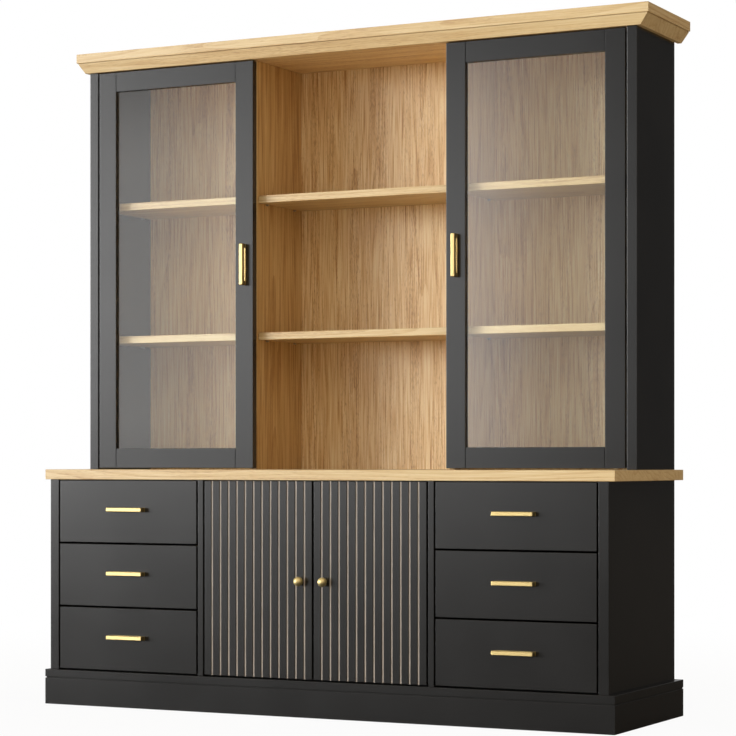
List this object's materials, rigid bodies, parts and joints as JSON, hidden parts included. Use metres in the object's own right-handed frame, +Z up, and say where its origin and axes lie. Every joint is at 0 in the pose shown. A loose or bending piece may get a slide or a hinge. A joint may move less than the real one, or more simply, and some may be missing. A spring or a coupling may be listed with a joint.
{
  "type": "kitchen hutch",
  "caption": "Kitchen hutch: base unit with drawers and a grooved two-door cupboard under an oak counter, and an upper unit with glass doors, open shelves and a bevelled crown.",
  "frame": {"origin": "on the floor, under the middle of the box that holds the whole, knobs included", "axes": "+X to the right seen from the front, +Y to the wall behind, +Z up"},
  "size_m": [1.884, 0.573, 2],
  "materials": {
    "painted_board": "satin charcoal paint on smooth board",
    "oak": "matt lacquered oak veneer",
    "carcass_board": "matt charcoal board",
    "drawer_board": "pale oak-effect board",
    "back_board": "thin matt fibreboard",
    "inlay_strip": "greige lacquered strip",
    "brass": "satin brass",
    "steel": "zinc plated",
    "dark_plastic": "matt moulded",
    "clear_glass": "clear float glass"
  },
  "bodies": {
    "cabinet": {"plinth_front": "painted_board", "plinth_sides": "painted_board", "plinth_rails": "carcass_board", "base_sides": "painted_board", "base_dividers": "painted_board", "base_bottom": "carcass_board", "base_back": "back_board", "base_top_rails": "carcass_board", "countertop": "oak", "cupboard_shelf": "carcass_board", "hutch_sides": "painted_board", "hutch_dividers": "oak", "hutch_top": "oak", "hutch_back": "oak", "crown_front": "oak", "crown_sides": "oak", "crown_back": "oak", "side_bay_shelves": "oak", "centre_bay_shelves": "oak", "shelf_pins": "steel", "drawer_runner_channels": "steel", "hinge_arms": "steel", "door_catches": "dark_plastic", "joining_brackets": "steel", "wall_brackets": "steel"},
    "left_cupboard_door": {"left_cupboard_door_panel": "painted_board", "left_cupboard_door_inlays": "inlay_strip", "left_cupboard_door_knob": "brass", "left_cupboard_door_hinge_cups": "steel"},
    "left_glass_door": {"left_glass_door_frame": "painted_board", "left_glass_door_pane": "clear_glass", "left_glass_door_handle": "brass", "left_glass_door_hinge_cups": "steel"},
    "left_bottom_drawer": {"left_bottom_drawer_front": "painted_board", "left_bottom_drawer_box": "drawer_board", "left_bottom_drawer_pull": "brass"},
    "left_middle_drawer": {"left_middle_drawer_front": "painted_board", "left_middle_drawer_box": "drawer_board", "left_middle_drawer_pull": "brass"},
    "left_top_drawer": {"left_top_drawer_front": "painted_board", "left_top_drawer_box": "drawer_board", "left_top_drawer_pull": "brass"},
    "right_cupboard_door": {"right_cupboard_door_panel": "painted_board", "right_cupboard_door_inlays": "inlay_strip", "right_cupboard_door_knob": "brass", "right_cupboard_door_hinge_cups": "steel"},
    "right_glass_door": {"right_glass_door_frame": "painted_board", "right_glass_door_pane": "clear_glass", "right_glass_door_handle": "brass", "right_glass_door_hinge_cups": "steel"},
    "right_bottom_drawer": {"right_bottom_drawer_front": "painted_board", "right_bottom_drawer_box": "drawer_board", "right_bottom_drawer_pull": "brass"},
    "right_middle_drawer": {"right_middle_drawer_front": "painted_board", "right_middle_drawer_box": "drawer_board", "right_middle_drawer_pull": "brass"},
    "right_top_drawer": {"right_top_drawer_front": "painted_board", "right_top_drawer_box": "drawer_board", "right_top_drawer_pull": "brass"}
  },
  "joints": [
    {"name": "left_cupboard_door_hinge", "type": "hinge", "parent": "cabinet", "child": "left_cupboard_door", "pos_m": [-0.3625, -0.2565, 0.3935], "axis": [0, 0, -1], "range_deg": [0, 90]},
    {"name": "left_glass_door_hinge", "type": "hinge", "parent": "cabinet", "child": "left_glass_door", "pos_m": [-0.8705, -0.0425, 1.3255], "axis": [0, 0, -1], "range_deg": [0, 105]},
    {"name": "left_bottom_drawer_slide", "type": "slide", "parent": "cabinet", "child": "left_bottom_drawer", "axis": [0, -1, 0], "range_m": [0, 0.3]},
    {"name": "left_middle_drawer_slide", "type": "slide", "parent": "cabinet", "child": "left_middle_drawer", "axis": [0, -1, 0], "range_m": [0, 0.3]},
    {"name": "left_top_drawer_slide", "type": "slide", "parent": "cabinet", "child": "left_top_drawer", "axis": [0, -1, 0], "range_m": [0, 0.3]},
    {"name": "right_cupboard_door_hinge", "type": "hinge", "parent": "cabinet", "child": "right_cupboard_door", "pos_m": [0.3625, -0.2565, 0.3935], "axis": [0, 0, 1], "range_deg": [0, 90]},
    {"name": "right_glass_door_hinge", "type": "hinge", "parent": "cabinet", "child": "right_glass_door", "pos_m": [0.8705, -0.0425, 1.3255], "axis": [0, 0, 1], "range_deg": [0, 105]},
    {"name": "right_bottom_drawer_slide", "type": "slide", "parent": "cabinet", "child": "right_bottom_drawer", "axis": [0, -1, 0], "range_m": [0, 0.3]},
    {"name": "right_middle_drawer_slide", "type": "slide", "parent": "cabinet", "child": "right_middle_drawer", "axis": [0, -1, 0], "range_m": [0, 0.3]},
    {"name": "right_top_drawer_slide", "type": "slide", "parent": "cabinet", "child": "right_top_drawer", "axis": [0, -1, 0], "range_m": [0, 0.3]}
  ]
}
